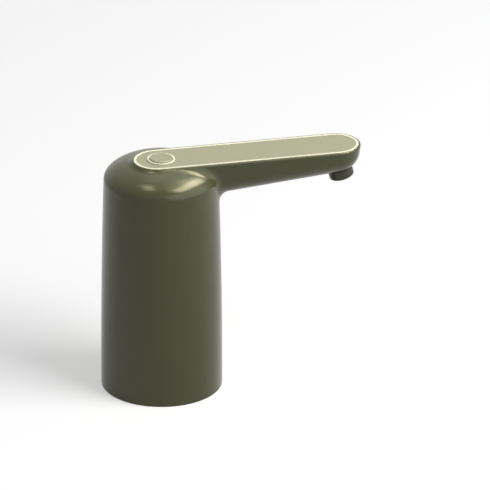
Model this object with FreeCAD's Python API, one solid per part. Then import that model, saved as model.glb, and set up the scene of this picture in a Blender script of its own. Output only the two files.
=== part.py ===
import FreeCAD, Part
import math
import os

from FreeCAD import Vector

# An electric camping tap: a round body that stands on a container's neck or on a table, with a spout arm.
# The origin is the centre of the base rim. +Z is up and the arm points along +X. Sizes are millimetres.

# Body shell
body_base_radius = 34.0
body_shoulder_radius = 32.15
body_straight_height = 12.0
body_shoulder_height = 125.2
shoulder_run = 26.0
shoulder_rise = 11.3
body_wall = 2.2
foot_edge_round = 0.5

# Spout arm
arm_top_above_shoulder = 11.8
arm_rear_centre_x = -2.23
arm_tip_centre_x = 99.4
arm_top_radius = 14.5
arm_draft = 8.0
arm_root_depth = 22.1
arm_tip_depth = 14.45
arm_lower_round = 12.0
round_spare = 1.6
arm_inner_round = 8.5
arm_rear_depth = 12.5
arm_hull_start_x = 14.0
arm_top_round = 0.9
blend_on_top = 5.0
blend_under_arm = 6.0
arm_wall = 2.2

# Panel, its trim and its gasket
trim_outer_radius = 13.2
trim_width = 1.6
trim_proud = 0.15
trim_edge_round = 0.2
panel_thickness = 2.0
gasket_thickness = 0.3
ledge_opening_radius = 10.6
panel_below_lip = 0.1

# Push button
button_cap_radius = 6.4
button_travel = 0.6
button_ring_width = 1.3
button_ring_rise = 0.6
button_dish_depth = 0.3
button_flange_reach = 1.1
cap_wall = 1.1
cap_roof_extra = 0.7
cap_edge_round = 0.5
ring_edge_round = 0.3
stem_radius = 1.4
dish_half_width = 5.4
button_flange_thickness = 1.0
stem_below_flange = 1.7

# Button dome, switch and bracket
dome_wall = 0.8
dome_top_radius = 3.4
dome_height = 3.0
dome_flange_width = 2.7
dome_corner = 0.4
bracket_wall = 1.6
bracket_gap = 0.6
bracket_lug_overlap = 2.0
bracket_lug_margin = 0.8
switch_side = 6.0
switch_height = 3.5
switch_above_seat = 0.4
switch_plunger_radius = 1.5
plunger_in_switch = 1.3
board_thickness = 1.6
button_board_inset = 1.0
stake_radius = 0.9
stake_inset = 2.8
lug_boss_radius = 2.2
lug_boss_length = 3.2
lug_half_width = 8.0
lug_thickness = 1.4
lug_screw_x = 13.6
lug_screw_ys = (-5.6, 5.6)

# Nozzle and elbow
nozzle_radius = 7.0
nozzle_tilt = 15.0
nozzle_mouth_from_tip_centre = 3.95
nozzle_drop = 19.85
nozzle_mouth_radius = 4.4
nozzle_wall_top = 5.2
nozzle_neck_step = 0.3
nozzle_reach = 11.0
elbow_barrel_radius = 5.2
elbow_barrel_extra = 8.0
elbow_bore_radius = 3.4
elbow_bore_short = 0.4
elbow_flange_radius = 7.6
elbow_flange_thickness = 1.5
elbow_from_tip_centre = 18.0
nozzle_lip = 2.4
nozzle_edge_round = 0.6
seal_along_nozzle = 3.2
seal_cord_radius = 0.6
seal_slack = 0.01

# Water hose and spigots
hose_outer_radius = 4.0
hose_bore_radius = 3.0
hose_bend_radius = 13.0
hose_to_wall = 2.2
hose_to_shoulder = 0.5
hose_start_rise = 1.0
water_way_radius = 2.0
spigot_length = 7.5
spigot_collar_step = 0.6
clip_thickness = 0.7
clip_width = 3.2
clip_gap_half = 0.8
clip_ear_reach = 2.2
clip_from_end = 2.0

# Neck socket and base plate
neck_bore_radius = 27.6
neck_liner_wall = 1.5
neck_bore_length = 12.0
neck_room_height = 22.0
base_recess = 1.0
base_ceiling = 2.8
inlet_spigot_radius = 4.0
inlet_spigot_length = 6.0
inlet_collar_radius = 4.6
inlet_collar_drop = 1.0
neck_room_gap = 0.8
liner_low = 0.2
liner_chamfer = 0.6
spigot_chamfer = 0.8

# Gear pump
gear_teeth = 10
gear_module = 1.0
gear_pressure_angle = 28.0
gear_addendum = 0.8
gear_dedendum = 1.05
gear_width = 5.0
gear_backlash = 0.14
pump_wall = 4.1
pump_side_wall = 2.6
pump_above_ceiling = 2.7
pump_end_wall = 7.6
pump_cover_thickness = 4.0
pump_gasket_thickness = 0.5
idler_pin_radius = 1.5
idler_pin_above = 2.5
shaft_in_cover = 1.9
shaft_end_gap = 0.3
pump_corner = 3.0
pump_screw_inset_x = 2.85
pump_screw_inset_y = 2.95
lobe_radius = 4.2
lobe_pipe_radius = 3.9
lobe_link_inset = 0.7
lobe_link_reach = 3.0
seal_radius = 4.0
seal_floor = 1.2
mesh_half_width = 2.0
chamber_port_extra = 0.2
chamber_port_reach = 0.5
flank_steps = 5

# Motor
motor_radius = 13.8
motor_length = 32.5
motor_can_wall = 1.2
motor_shaft_radius = 1.15
magnet_thickness = 2.1
magnet_air_gap = 0.5
armature_length = 16.0
armature_above_face = 8.4
magnet_overlap = 3.0
bush_radius = 3.0
bush_length = 3.5
rear_bush_length = 2.8
motor_face = 1.5
motor_screw_reach = 8.0
magnet_gap_half = 5.5
pole_half_width = 2.0
pole_root = 0.3
shoe_thickness = 1.4
shoe_gap_half = 1.2
armature_hub_radius = 4.0
commutator_radius = 3.2
commutator_gap = 1.5
brush_chamber_radius = 5.5
brush_half_width = 1.0
brush_gap_below = 0.2
brush_gap_above = 0.3
cap_plug = 2.5
cap_flange = 1.5
cap_hub_radius = 4.2
cap_hub_rise = 4.2
cap_hub_roof = 0.8
shaft_below_hub = 1.1
terminal_reach = 7.0
terminal_height = 4.0
terminal_half_width = 1.2
terminal_half_thickness = 0.25

# Cell and its holder
cell_radius = 9.2
cell_length = 65.0
holder_wall = 1.5
holder_floor = 1.3
holder_seat_height = 5.0
holder_opening_share = 0.8
tab_thickness = 0.2
tab_inset = 2.5
cell_edge_round = 0.6
cell_bearing = -118.1
cell_gap = 1.4

# Chassis and boards
chassis_plate = 2.5
blind_roof = 0.6
leg_radius = 3.4
leg_circle_radius = 24.0
chassis_screw_circle_radius = 26.5
main_board_width = 15.4
main_board_height = 45.5
board_above_chassis = 2.0
board_to_shoulder = 1.1
board_screw_inset = 3.6
board_screw_low = 3.5
board_screw_high = 6.5
boss_radius = 3.2
boss_height = 12.0
boss_roof = 2.0
boss_rib_half = 1.2
chassis_screw_angles = (20, 110, 200, 290)
leg_angles = (45, 135, 225, 315)
post_thickness = 1.6
post_gap = 1.0
post_skin = 0.3
post_from_board_start = 2.0
post_from_board_end = 1.2
post_below_board_top = 3.5
post_pad_radius = 2.0
lead_radius = 0.7
lead_bend = 2.5

# Wires: levels above the board's top, and places along the board's top edge
motor_lead_levels = (5.0, 8.5)
motor_lead_insets = (2.3, 5.2)
cell_lead_level = 12.0
cell_lead_places = (4.2, 7.2)
cell_lead_turn = 40.0
cell_lead_offset = 3.0
cell_lead_rise = 4.5
button_lead_x = -4.5
button_lead_drop = 4.0
button_lead_place = 1.3

# Charging port, at the back of the body; its pieces are laid out facing -X and then turned about Z
port_turn = -30.0
port_height = 56.0
port_cover_half_width = 6.5
port_cover_below = 7.5
port_cover_above = 6.0
port_hinge_above = 8.2
port_hinge_depth = 0.95
port_knuckle_radius = 0.75
port_knuckle_half_width = 2.5
port_pocket_depth = 2.05
port_plug_depth = 1.5
socket_thickness = 3.2
socket_height = 8.9
socket_length = 7.35
socket_wall = 0.3
tongue_inset = 0.7
tongue_half_thickness = 0.35
tongue_half_width = 3.3
port_pad_half_width = 9.0
port_pad_wall = 2.5
port_pad_below = 3.0
port_pad_above = 4.0
port_plug_gap = 0.35
cover_pin_radius = 0.4
cover_pin_half_length = 3.8
thumb_notch_radius = 2.4

# Fits
fit_gap = 0.1
running_gap = 0.05
loose_gap = 0.2
screw_bite = 0.02

# How far a cut runs past what it cuts, and how far a joined piece is sunk into what carries it
over = 1.0
root = 0.5

# Screws
small_screw_radius = 0.85
small_head_radius = 1.8
small_head_height = 1.2
medium_screw_radius = 1.2
medium_head_radius = 2.2
medium_head_height = 1.6
motor_head_height = 1.4
large_screw_radius = 1.45
large_head_radius = 2.75
large_head_height = 2.0
large_screw_length = 12.0
lug_screw_length = 4.9
screw_cross_width = 0.8
screw_cross_depth = 0.7
screw_cross_share = 0.6
screw_end_gap = 1.0

# Levels and places worked out from the sizes above
curve_height = body_shoulder_height - body_straight_height
curve_inset = body_base_radius - body_shoulder_radius
body_curve_radius = (curve_height ** 2 + curve_inset ** 2) / (2 * curve_inset)
arm_top = body_shoulder_height + arm_top_above_shoulder
panel_top = arm_top - panel_below_lip
panel_under = panel_top - panel_thickness
ledge_top = panel_under - gasket_thickness
trim_inner_radius = trim_outer_radius - trim_width
ring_inner_radius = button_cap_radius + 1.5 * fit_gap
ring_outer_radius = ring_inner_radius + button_ring_width
ring_neck_radius = ring_inner_radius + button_ring_width / 2
ring_top = panel_top + button_ring_rise
base_ceiling_top = neck_room_height + base_ceiling
pump_cover_bottom = base_ceiling_top + pump_above_ceiling
pump_gasket_bottom = pump_cover_bottom + pump_cover_thickness
chamber_bottom = pump_gasket_bottom + pump_gasket_thickness
chamber_top = chamber_bottom + gear_width + 2 * running_gap
chassis_bottom = chamber_bottom + gear_width + pump_end_wall - chassis_plate
chassis_top = chassis_bottom + chassis_plate
gear_pitch_radius = gear_teeth * gear_module / 2
gear_tip_radius = gear_pitch_radius + gear_addendum * gear_module
nip_x = 5.5
motor_x = nip_x
motor_y = gear_pitch_radius
idler_y = -gear_pitch_radius
chamber_radius = gear_tip_radius + running_gap
pump_half_x = chamber_radius + pump_wall
pump_half_y = gear_pitch_radius + chamber_radius + pump_side_wall
pump_screw_reach_x = pump_half_x - pump_screw_inset_x
pump_screw_reach_y = pump_half_y - pump_screw_inset_y
pump_screw_places = [(nip_x + i * pump_screw_reach_x, j * pump_screw_reach_y)
                     for i in (-1, 1) for j in (-1, 1)]
motor_screw_ys = (motor_y - motor_screw_reach, motor_y + motor_screw_reach)
way_z = (chamber_bottom + chamber_top) / 2
gear_low = chamber_bottom + running_gap
shaft_low = pump_gasket_bottom - shaft_in_cover
seal_low = chamber_top + seal_floor
idler_pin_top = chamber_top + idler_pin_above
inlet_collar_bottom = neck_room_height - inlet_collar_drop
neck_bore_top = base_recess + neck_bore_length
holder_radius = cell_radius + fit_gap + holder_wall
cell_distance = motor_radius + cell_radius + cell_gap
cell_x = motor_x + cell_distance * math.cos(math.radians(cell_bearing))
cell_y = motor_y + cell_distance * math.sin(math.radians(cell_bearing))
cell_top = chassis_top + holder_floor + tab_thickness + cell_length
armature_radius = motor_radius - motor_can_wall - magnet_thickness - magnet_air_gap
armature_low = chassis_top + armature_above_face
armature_high = armature_low + armature_length
magnet_low = armature_low - magnet_overlap
magnet_high = armature_high + magnet_overlap
cap_flange_low = chassis_top + motor_length
cap_hub_top = cap_flange_low + cap_hub_rise
brush_low = cap_flange_low - cap_plug + brush_gap_below
brush_high = cap_flange_low - brush_gap_above
shaft_high = cap_hub_top - shaft_below_hub
terminal_top = cap_flange_low + cap_flange + terminal_height
button_top = ring_top + button_travel
ring_bottom = panel_under - gasket_thickness
flange_top = ring_bottom - running_gap
flange_bottom = flange_top - button_flange_thickness
dome_top = flange_bottom - stem_below_flange
dome_base = dome_top - dome_height
stem_bottom = dome_top + running_gap
switch_top = dome_base + switch_above_seat
board_bottom = switch_top - switch_height - board_thickness
plunger_bottom = switch_top - plunger_in_switch
bracket_radius = ledge_opening_radius - bracket_gap
dome_flange_radius = bracket_radius - bracket_wall - fit_gap
lug_top = panel_under - lug_boss_length
stake_ys = (stake_inset - bracket_radius, bracket_radius - stake_inset)


def body_radius_at(z):
    """Outer radius of the body's wall at height z: upright at the foot, then a very large arc inwards."""
    rise = max(z - body_straight_height, 0)
    return body_base_radius - body_curve_radius + math.sqrt(body_curve_radius ** 2 - rise ** 2)


def inner_radius_at(z):
    return body_radius_at(z) - body_wall


hose_x = min(inner_radius_at(chassis_top) - hose_to_wall,
             inner_radius_at(body_shoulder_height) - hose_to_shoulder) - hose_outer_radius
hose_start_z = chassis_top + hose_start_rise
hose_run_z = panel_under - hose_outer_radius - clip_thickness - loose_gap
elbow_inlet_x = arm_tip_centre_x - elbow_from_tip_centre
hose_end_x = elbow_inlet_x + spigot_length
arm_end_x = arm_tip_centre_x + arm_top_radius
underside_slope = (arm_root_depth - arm_tip_depth) / (arm_end_x - body_shoulder_radius)
port_wall_radius = body_radius_at(port_height)
pocket_floor_x = -(port_wall_radius - port_pocket_depth)
pad_inner_x = pocket_floor_x + port_pad_wall
hinge_z = port_height + port_hinge_above
hinge_x = -(body_radius_at(hinge_z) - port_hinge_depth)
board_x0 = max(pad_inner_x + 2 * loose_gap, board_to_shoulder - inner_radius_at(body_shoulder_height))
board_x1 = board_x0 + main_board_width
board_y0 = -socket_thickness / 2 - board_thickness
board_bottom_z = chassis_top + board_above_chassis
board_top = board_bottom_z + main_board_height
board_screw_x = board_x1 - board_screw_inset
board_screw_zs = (board_bottom_z + board_screw_low, board_top - board_screw_high)
post_y1 = board_y0 - post_gap
post_y0 = post_y1 - post_thickness
nozzle_mouth = Vector(arm_tip_centre_x + nozzle_mouth_from_tip_centre, 0, arm_top - nozzle_drop)
nozzle_direction = Vector(math.sin(math.radians(nozzle_tilt)), 0, -math.cos(math.radians(nozzle_tilt)))
elbow_bore_top = hose_run_z + water_way_radius - elbow_bore_short
elbow_bore_length = (elbow_bore_top - nozzle_mouth.z) / -nozzle_direction.z
elbow_axis_x = nozzle_mouth.x + nozzle_direction.x * (hose_run_z - nozzle_mouth.z) / nozzle_direction.z


def underside_at(x):
    """Height of the arm's sloping underside at x."""
    return arm_top - arm_root_depth + underside_slope * (x - body_shoulder_radius)


def floor_at(x):
    """Height of the arm's inner floor at x."""
    return underside_at(x) + arm_wall


def flange_top_at(x):
    return floor_at(x) + elbow_flange_thickness


def turned(radius, degrees):
    """The point on a circle round the body's axis, as x and y."""
    angle = math.radians(degrees)
    return radius * math.cos(angle), radius * math.sin(angle)


def to_port(shape):
    """A shape laid out facing -X, turned to where the charging port is."""
    shape = shape.copy()
    shape.rotate(Vector(0, 0, 0), Vector(0, 0, 1), port_turn)
    return shape


def at_port(x, y):
    """A point laid out for a port facing -X, turned to where the port is."""
    angle = math.radians(port_turn)
    return x * math.cos(angle) - y * math.sin(angle), x * math.sin(angle) + y * math.cos(angle)


def cylinder(radius, low, high, x=0.0, y=0.0):
    """An upright cylinder from one level to another."""
    return Part.makeCylinder(radius, high - low, Vector(x, y, low))


def ring(outer, inner, low, high, x=0.0, y=0.0):
    return cylinder(outer, low, high, x, y).cut(cylinder(inner, low - over, high + over, x, y))


def block(x0, x1, y0, y1, z0, z1):
    return Part.makeBox(x1 - x0, y1 - y0, z1 - z0, Vector(x0, y0, z0))


def rod(radius, start, end):
    """A cylinder between two points."""
    a = Vector(*start)
    b = Vector(*end)
    return Part.makeCylinder(radius, (b - a).Length, a, b - a)


def along_nozzle(radius, start, end):
    """A cylinder on the nozzle's axis, from start to end as distances up from its mouth."""
    low = nozzle_mouth - nozzle_direction * start
    return Part.makeCylinder(radius, end - start, low, nozzle_direction * -1)


def screw_up(radius, head_radius, head_height, seat, length, x, y):
    """A cross-head screw driven upwards, its head under the level seat."""
    head = cylinder(head_radius, seat - head_height, seat, x, y)
    shank = cylinder(radius, seat - root, seat + length, x, y)
    half = screw_cross_width / 2
    reach = head_radius * screw_cross_share
    low = seat - head_height - over
    high = seat - head_height + screw_cross_depth
    cross = [block(x - reach, x + reach, y - half, y + half, low, high)]
    cross.append(block(x - half, x + half, y - reach, y + reach, low, high))
    return joined([head, shank]).cut(cross)


def rounded_block(x0, x1, y0, y1, z0, z1, radius):
    """A block with round upright corners."""
    box = block(x0, x1, y0, y1, z0, z1)
    upright = [e for e in box.Edges if abs(e.tangentAt(e.FirstParameter).z) > 0.99]
    return box.makeFillet(radius, upright)


def lathe(points):
    """A solid turned round Z from an outline of (radius, height) points."""
    corners = [Vector(r, 0, z) for r, z in points]
    outline = Part.makePolygon(corners + corners[:1])
    return Part.Face(outline).revolve(Vector(0, 0, 0), Vector(0, 0, 1), 360)


def moved(shape, x=0.0, y=0.0, z=0.0):
    copy = shape.copy()
    copy.translate(Vector(x, y, z))
    return copy


def joined(shapes):
    """One solid from shapes that overlap."""
    first = shapes[0]
    whole = first.fuse(shapes[1:]) if len(shapes) > 1 else first
    return whole.removeSplitter()


def stadium_wire(x0, x1, radius, z):
    """A closed outline with two straight sides and two round ends."""
    near = Part.makeLine(Vector(x0, -radius, z), Vector(x1, -radius, z))
    tip = Part.Arc(Vector(x1, -radius, z), Vector(x1 + radius, 0, z), Vector(x1, radius, z)).toShape()
    far = Part.makeLine(Vector(x1, radius, z), Vector(x0, radius, z))
    rear = Part.Arc(Vector(x0, radius, z), Vector(x0 - radius, 0, z), Vector(x0, -radius, z)).toShape()
    return Part.Wire([near, tip, far, rear])


def stadium(radius, low, high):
    """An upright slab with the arm's outline at the given end radius."""
    face = Part.Face(stadium_wire(arm_rear_centre_x, arm_tip_centre_x, radius, low))
    return face.extrude(Vector(0, 0, high - low))


def below_line(height_at, x0, x1, y_half, floor):
    """Everything under a sloping plane, as a wedge between x0 and x1."""
    corners = [Vector(x0, -y_half, floor), Vector(x1, -y_half, floor)]
    corners += [Vector(x1, -y_half, height_at(x1)), Vector(x0, -y_half, height_at(x0))]
    face = Part.Face(Part.makePolygon(corners + corners[:1]))
    return face.extrude(Vector(0, 2 * y_half, 0))


def dome_profile_solid(inset):
    """The body's round shape, taken in by inset: a slightly curved wall and a quarter-ellipse shoulder."""
    base = body_base_radius - inset
    run = shoulder_run - inset
    rise = shoulder_rise - inset
    wall_slope = curve_height / (body_curve_radius - curve_inset)
    start = math.atan(wall_slope * rise / run)
    centre_x = body_shoulder_radius - shoulder_run * math.cos(start)
    centre_z = body_shoulder_height - shoulder_rise * math.sin(start)
    top = centre_z + rise
    shoulder = Vector(centre_x + run * math.cos(start), 0, centre_z + rise * math.sin(start))
    centre = Vector(centre_x, 0, centre_z)
    ellipse = Part.Ellipse(centre + Vector(run, 0, 0), centre + Vector(0, 0, rise), centre)
    curve = Part.ArcOfEllipse(ellipse, start, math.pi / 2).toShape()
    low = 0 if inset == 0 else -over
    foot = Vector(base, 0, body_straight_height)
    middle_z = (body_straight_height + shoulder.z) / 2
    middle = Vector(body_radius_at(middle_z) - inset, 0, middle_z)
    floor = Part.makeLine(Vector(0, 0, low), Vector(base, 0, low))
    upright = Part.makeLine(Vector(base, 0, low), foot)
    wall = Part.Arc(foot, middle, shoulder).toShape()
    roof = Part.makeLine(Vector(centre_x, 0, top), Vector(0, 0, top))
    axis = Part.makeLine(Vector(0, 0, top), Vector(0, 0, low))
    outline = Part.Wire([floor, upright, wall, curve, roof, axis])
    return Part.Face(outline).revolve(Vector(0, 0, 0), Vector(0, 0, 1), 360)


def drafted_bar(x0, x1, end_radius, depth, draft):
    """A straight bar under the arm's top whose sides lean in by the draft angle."""
    low = arm_top - depth
    low_radius = end_radius - depth * math.tan(math.radians(draft))
    corners = [(-low_radius, low), (low_radius, low), (end_radius, arm_top), (-end_radius, arm_top)]
    section = [Vector(x0, y, z) for y, z in corners]
    return Part.Face(Part.makePolygon(section + section[:1])).extrude(Vector(x1 - x0, 0, 0))


def drafted_end(x, end_radius, depth, draft):
    """The round end of such a bar."""
    low = arm_top - depth
    if not draft:
        return cylinder(end_radius, low, arm_top, x)
    low_radius = end_radius - depth * math.tan(math.radians(draft))
    return Part.makeCone(low_radius, end_radius, depth, Vector(x, 0, low))


def rounded_under(slab, height_at, lower_round):
    """The slab cut off under a sloping plane, with the edges of the cut rounded."""
    low = slab.BoundBox.ZMin
    slab = slab.cut(below_line(height_at, -body_base_radius, arm_end_x + over, body_base_radius, low - over))
    lower_edges = [e for e in slab.Edges if all(abs(v.Z - height_at(v.X)) < 0.01 for v in e.Vertexes)]
    lower_edges = [e for e in lower_edges
                   if abs(e.tangentAt(e.FirstParameter).y) < 0.99 or e.BoundBox.XMax > body_shoulder_radius]
    return slab.makeFillet(lower_round, lower_edges)


def round_room(end_radius, draft):
    """The largest round that fits at the tip, between the leaning wall and the sloping underside."""
    lean = math.radians(draft)
    depth = arm_top - underside_at(arm_tip_centre_x)
    half_width = end_radius - depth * math.tan(lean)
    return half_width / (1 / math.cos(lean) - math.tan(lean) + round_spare * underside_slope)


def arm_outer():
    """The arm's outside: a hull with a round belly, and a shallow rear end in the body's shoulder."""
    hull_depth = arm_top - underside_at(arm_hull_start_x) + over
    hull = joined([drafted_bar(arm_hull_start_x, arm_tip_centre_x, arm_top_radius, hull_depth, arm_draft),
                   drafted_end(arm_tip_centre_x, arm_top_radius, hull_depth, arm_draft)])
    lower_round = min(arm_lower_round, round_room(arm_top_radius, arm_draft))
    hull = rounded_under(hull, underside_at, lower_round)
    rear = [drafted_bar(arm_rear_centre_x, arm_hull_start_x + over, arm_top_radius, arm_rear_depth,
                        arm_draft),
            drafted_end(arm_rear_centre_x, arm_top_radius, arm_rear_depth, arm_draft)]
    arm = joined([hull] + rear)
    rim = [e for e in arm.Edges if all(abs(v.Z - arm_top) < 0.01 for v in e.Vertexes)]
    return arm.makeFillet(arm_top_round, rim)


def arm_pocket():
    """The hollow inside the arm, open at the top for the panel."""
    depth = arm_top - floor_at(arm_rear_centre_x - ledge_opening_radius) + over
    slab = joined([drafted_bar(arm_rear_centre_x, arm_tip_centre_x, ledge_opening_radius, depth, 0),
                   drafted_end(arm_rear_centre_x, ledge_opening_radius, depth, 0),
                   drafted_end(arm_tip_centre_x, ledge_opening_radius, depth, 0)])
    return rounded_under(slab, floor_at, min(arm_inner_round, round_room(ledge_opening_radius, 0)))


def on_both(edge, first, second):
    """True where an edge's middle lies on the surfaces of both shapes."""
    middle = edge.valueAt((edge.FirstParameter + edge.LastParameter) / 2)
    point = Part.Vertex(middle)
    return all(shell.distToShape(point)[0] < 1e-4 for shell in (first, second))


def blend_radius_at(z):
    """Radius of the blend between body and arm: smaller on top of the shoulder than under the arm."""
    share = (arm_top - z) / (arm_top - body_shoulder_height)
    share = min(max(share, 0.0), 1.0)
    return blend_on_top + (blend_under_arm - blend_on_top) * share


def outer_skin():
    """Body and arm as one solid lump, with a soft blend where they meet."""
    body = dome_profile_solid(0)
    foot = [e for e in body.Edges if abs(e.BoundBox.ZMax) < 1e-6 and e.BoundBox.XMax > 1]
    body = body.makeFillet(foot_edge_round, foot)
    arm = arm_outer()
    lump = body.fuse(arm)
    radii = []
    for number, edge in enumerate(lump.Edges, 1):
        if on_both(edge, body.Shells[0], arm.Shells[0]):
            ends = [edge.valueAt(edge.FirstParameter).z, edge.valueAt(edge.LastParameter).z]
            if edge.Orientation == "Reversed":
                ends.reverse()
            radii.append((number, blend_radius_at(ends[0]), blend_radius_at(ends[1])))
    document = FreeCAD.newDocument("blend")
    base = document.addObject("Part::Feature", "lump")
    base.Shape = lump
    blend = document.addObject("Part::Fillet", "blended")
    blend.Base = base
    blend.Edges = radii
    document.recompute()
    return blend.Shape.copy()


def chassis_bosses():
    """Four bosses on the housing's wall that the chassis screws into, each tied to the wall by a rib."""
    bosses = []
    for angle in chassis_screw_angles:
        x, y = turned(chassis_screw_circle_radius, angle)
        post = cylinder(boss_radius, chassis_top, chassis_top + boss_height, x, y)
        reach = inner_radius_at(chassis_top) + body_wall / 2
        rib = block(chassis_screw_circle_radius, reach, -boss_rib_half, boss_rib_half,
                    chassis_top, chassis_top + boss_height)
        rib.rotate(Vector(0, 0, 0), Vector(0, 0, 1), angle)
        bosses.append(post.fuse(rib))
    return bosses


def boss_holes():
    holes = []
    for angle in chassis_screw_angles:
        x, y = turned(chassis_screw_circle_radius, angle)
        holes.append(cylinder(large_screw_radius + screw_bite, chassis_top - over,
                              chassis_top + boss_height - boss_roof, x, y))
    return holes


def port_pad():
    """The thick pad inside the rear wall that carries the charging port."""
    low = port_height - port_cover_below - port_pad_below
    return to_port(block(-port_wall_radius + body_wall / 2, pad_inner_x, -port_pad_half_width,
                         port_pad_half_width, low, hinge_z + port_pad_above))


def port_recess():
    """The pocket for the flap, its hinge groove, its thumb notch and the slot for the plug."""
    outside = -body_base_radius - over
    half = port_cover_half_width + fit_gap
    low = port_height - port_cover_below - fit_gap
    pocket = block(outside, pocket_floor_x, -half, half, low, port_height + port_cover_above + fit_gap)
    neck_half = port_knuckle_half_width + fit_gap
    groove_radius = port_knuckle_radius + loose_gap
    neck = block(outside, hinge_x, -neck_half, neck_half, port_height, hinge_z + groove_radius)
    groove = rod(groove_radius, (hinge_x, -neck_half, hinge_z), (hinge_x, neck_half, hinge_z))
    below_groove = block(hinge_x, hinge_x + groove_radius, -neck_half, neck_half, port_height, hinge_z)
    pin_hole = rod(cover_pin_radius, (hinge_x, -cover_pin_half_length, hinge_z),
                   (hinge_x, cover_pin_half_length, hinge_z))
    notch = rod(thumb_notch_radius, (outside, 0, low), (pocket_floor_x, 0, low))
    slot = rounded_slot(socket_thickness / 2 + port_plug_gap, socket_height / 2 + port_plug_gap,
                        pocket_floor_x - over, pad_inner_x + over)
    return [to_port(cut) for cut in (pocket, neck, groove, below_groove, pin_hole, notch, slot)]


def rounded_slot(half_width, half_height, x0, x1):
    """A bar along X at the port's height, with a flat oval section that stands upright."""
    straight = half_height - half_width
    bar = block(x0, x1, -half_width, half_width, port_height - straight, port_height + straight)
    top = rod(half_width, (x0, 0, port_height + straight), (x1, 0, port_height + straight))
    bottom = rod(half_width, (x0, 0, port_height - straight), (x1, 0, port_height - straight))
    return joined([bar, top, bottom])


def make_main_housing():
    """Body and arm in one moulding, hollow, open at the base and under the panel."""
    skin = outer_skin()
    hollow = [dome_profile_solid(body_wall), arm_pocket()]
    hollow.append(stadium(trim_outer_radius + fit_gap, ledge_top, arm_top + over))
    shell = skin.cut(hollow)
    inside = [shape.common(skin) for shape in chassis_bosses() + [port_pad()]]
    shell = shell.fuse(inside)
    cuts = boss_holes() + port_recess() + [along_nozzle(elbow_barrel_radius + fit_gap, 0, nozzle_reach)]
    return shell.cut(cuts).removeSplitter()


def make_top_panel():
    """The long flat panel, with a hole for the button and two screw bosses under it."""
    plate = stadium(trim_inner_radius - running_gap, panel_under, panel_top)
    bosses = [cylinder(lug_boss_radius, lug_top, panel_under + root, lug_screw_x, y) for y in lug_screw_ys]
    panel = joined([plate] + bosses)
    holes = [cylinder(ring_neck_radius + running_gap, panel_under - over, panel_top + over)]
    holes += [cylinder(small_screw_radius + screw_bite, lug_top - over, panel_under + blind_roof,
                       lug_screw_x, y) for y in lug_screw_ys]
    return panel.cut(holes)


def make_panel_trim():
    """The pale frame round the panel, a little proud of it."""
    frame = stadium(trim_outer_radius, panel_under, panel_top + trim_proud)
    frame = frame.cut(stadium(trim_inner_radius, panel_under - over, arm_top + over))
    rim = [e for e in frame.Edges if all(abs(v.Z - panel_top - trim_proud) < 0.01 for v in e.Vertexes)]
    return frame.makeFillet(trim_edge_round, rim)


def make_panel_gasket():
    outside = stadium(trim_outer_radius, ledge_top, panel_under)
    return outside.cut(stadium(ledge_opening_radius + fit_gap, ledge_top - over, panel_under + over))


def make_button_ring():
    """The raised ring round the button, with a neck through the panel."""
    outline = [(ring_inner_radius, ring_bottom), (ring_neck_radius, ring_bottom)]
    outline += [(ring_neck_radius, panel_top), (ring_outer_radius, panel_top)]
    outline += [(ring_outer_radius, ring_top), (ring_inner_radius, ring_top)]
    body = lathe(outline)
    rim = [e for e in body.Edges if abs(e.BoundBox.ZMin - ring_top) < 1e-3]
    return body.makeFillet(ring_edge_round, rim)


def make_button_cap():
    """The push button: a dished cap with a flange that keeps it in and a stem onto the dome."""
    roof = button_top - cap_wall - cap_roof_extra
    outline = [(0, stem_bottom), (stem_radius, stem_bottom), (stem_radius, roof)]
    outline += [(button_cap_radius - cap_wall, roof), (button_cap_radius - cap_wall, flange_bottom)]
    outline += [(button_cap_radius + button_flange_reach, flange_bottom)]
    outline += [(button_cap_radius + button_flange_reach, flange_top), (button_cap_radius, flange_top)]
    outline += [(button_cap_radius, button_top), (0, button_top)]
    cap = lathe(outline)
    rim = [e for e in cap.Edges if abs(e.BoundBox.ZMin - button_top) < 1e-3 and e.BoundBox.XMax > 1]
    cap = cap.makeFillet(cap_edge_round, rim)
    dish_radius = (dish_half_width ** 2 + button_dish_depth ** 2) / (2 * button_dish_depth)
    dish = Part.makeSphere(dish_radius, Vector(0, 0, button_top - button_dish_depth + dish_radius))
    return cap.cut(dish)


def make_button_dome():
    """The silicone dome that seals the button's hole and pushes the button back."""
    foot = dome_flange_radius - dome_flange_width
    outline = [(dome_flange_radius, dome_base), (dome_flange_radius, dome_base + dome_wall)]
    outline += [(foot + dome_corner, dome_base + dome_wall), (dome_top_radius, dome_top), (0, dome_top)]
    outline += [(0, dome_top - dome_wall), (dome_top_radius - dome_corner, dome_top - dome_wall)]
    outline += [(foot, dome_base)]
    return lathe(outline)


def make_switch_bracket():
    """The cup under the panel: it seats the dome, and the switch board is staked under its floor."""
    floor_bottom = dome_base - bracket_wall
    cup = cylinder(bracket_radius, floor_bottom, panel_under - fit_gap)
    cup = cup.cut(cylinder(bracket_radius - bracket_wall, dome_base, panel_under + over))
    lug_end = lug_screw_x + lug_boss_radius + bracket_lug_margin
    lug = block(bracket_radius - bracket_lug_overlap, lug_end, -lug_half_width, lug_half_width,
                lug_top - lug_thickness, lug_top)
    lug = lug.cut(cylinder(bracket_radius - bracket_wall / 2, floor_bottom - over, panel_under))
    stakes = [cylinder(stake_radius, board_bottom - root, floor_bottom + root, 0, y) for y in stake_ys]
    bracket = joined([cup, lug] + stakes)
    half = switch_side / 2 + loose_gap
    holes = [block(-half, half, -half, half, floor_bottom - over, dome_base + over)]
    holes += [cylinder(small_screw_radius + loose_gap, lug_top - 3 * over, lug_top + over, lug_screw_x, y)
              for y in lug_screw_ys]
    return bracket.cut(holes)


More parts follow.
